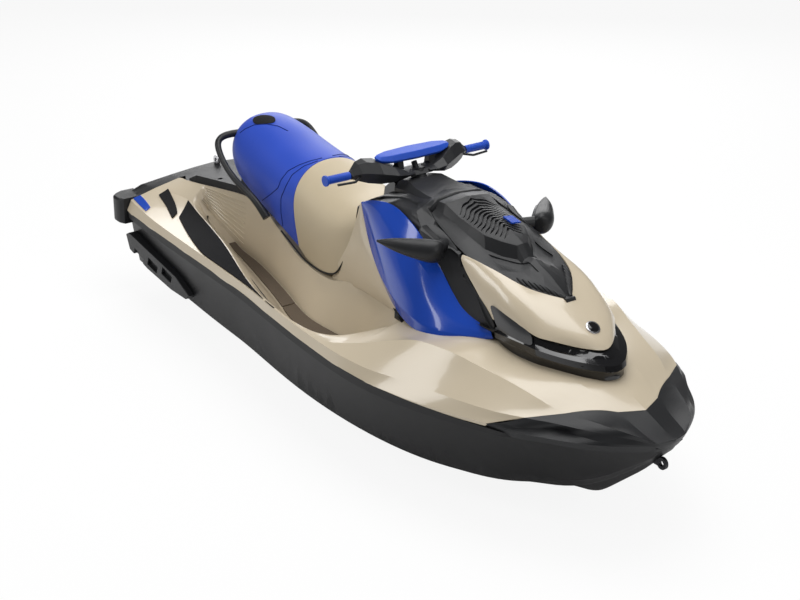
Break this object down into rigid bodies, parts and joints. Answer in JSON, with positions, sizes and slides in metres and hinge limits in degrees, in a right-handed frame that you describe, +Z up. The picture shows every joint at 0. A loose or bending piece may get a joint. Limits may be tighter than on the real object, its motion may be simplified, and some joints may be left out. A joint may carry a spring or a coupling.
{
  "type": "personal watercraft",
  "caption": "Sit-down personal watercraft with sand deck, blue saddle, black hull, handlebar steering, opening front storage, and a jet drive with steered nozzle and reverse bucket.",
  "frame": {"origin": "on the waterline, amidships on the centre line", "axes": "+X forward to the bow, +Y to port, +Z up"},
  "size_m": [3.31, 1.2553, 1.0969],
  "materials": {
    "hull_black": "black moulded hull, satin",
    "deck_sand": "sand coloured gel coat, glossy",
    "trim_black": "textured black plastic",
    "rail_rubber": "black rubbing strip",
    "mat_black": "foam traction mat",
    "mat_brown": "foam traction mat",
    "seat_blue": "marine vinyl, blue",
    "seat_sand": "marine vinyl, sand",
    "panel_blue": "glossy blue plastic",
    "gloss_black": "gloss black plastic",
    "grip_blue": "blue rubber grip",
    "cast_metal": "cast aluminium, painted grey",
    "steel": "stainless steel",
    "engine_grey": "cast"
  },
  "bodies": {
    "craft": {"hull": "hull_black", "deck": "deck_sand", "bow_bumper": "trim_black", "rear_deck": "trim_black", "stern_corners": "trim_black", "rub_rail": "rail_rubber", "engine_block": "engine_grey", "gunwale_mats": "mat_black", "footwell_mats": "mat_brown", "rear_seat": "seat_blue", "driver_seat": "seat_sand", "console_body": "trim_black", "side_panel_left": "panel_blue", "side_panel_right": "panel_blue", "storage_tub": "trim_black", "hood": "deck_sand", "nose_grille": "gloss_black", "console_skirt": "deck_sand", "steering_neck": "trim_black", "gauge_pod": "gloss_black", "grab_handles": "trim_black", "sponsons": "trim_black", "jet_pump": "cast_metal", "ride_plate": "cast_metal", "intake_grate": "cast_metal", "bow_eye": "steel", "stern_eyes": "steel", "tow_eye": "steel", "mirror_left": "gloss_black", "mirror_right": "gloss_black"},
    "steering": {"handlebar": "trim_black", "handlebar_pad": "grip_blue", "grip_left": "grip_blue", "grip_right": "grip_blue", "lever_left": "trim_black", "lever_right": "trim_black"},
    "lid": {"storage_lid": "trim_black"},
    "drive": {"impeller": "steel"},
    "nozzle": {"steering_nozzle": "trim_black"},
    "bucket": {"reverse_bucket": "cast_metal"}
  },
  "joints": [
    {"name": "steering_turn", "type": "hinge", "parent": "craft", "child": "steering", "pos_m": [0.09, 0, 0.698], "axis": [-0.5736, 0, 0.8192], "range_deg": [-25, 25]},
    {"name": "nozzle_turn", "type": "hinge", "parent": "craft", "child": "nozzle", "pos_m": [-1.45, 0, -0.15], "axis": [0, 0, 1], "range_deg": [-20, 20]},
    {"name": "bucket_drop", "type": "hinge", "parent": "craft", "child": "bucket", "pos_m": [-1.417, 0, -0.15], "axis": [0, -1, 0], "range_deg": [0, 75]},
    {"name": "impeller_spin", "type": "hinge", "parent": "craft", "child": "drive", "pos_m": [-1.155, 0, -0.15], "axis": [1, 0, 0], "continuous": true},
    {"name": "lid_lift", "type": "hinge", "parent": "craft", "child": "lid", "pos_m": [1.057, 0, 0.472], "axis": [0, 1, 0], "range_deg": [0, 60]}
  ],
  "couplings": [
    {"joint": "nozzle_turn", "follows": "steering_turn", "ratio": -0.8}
  ]
}
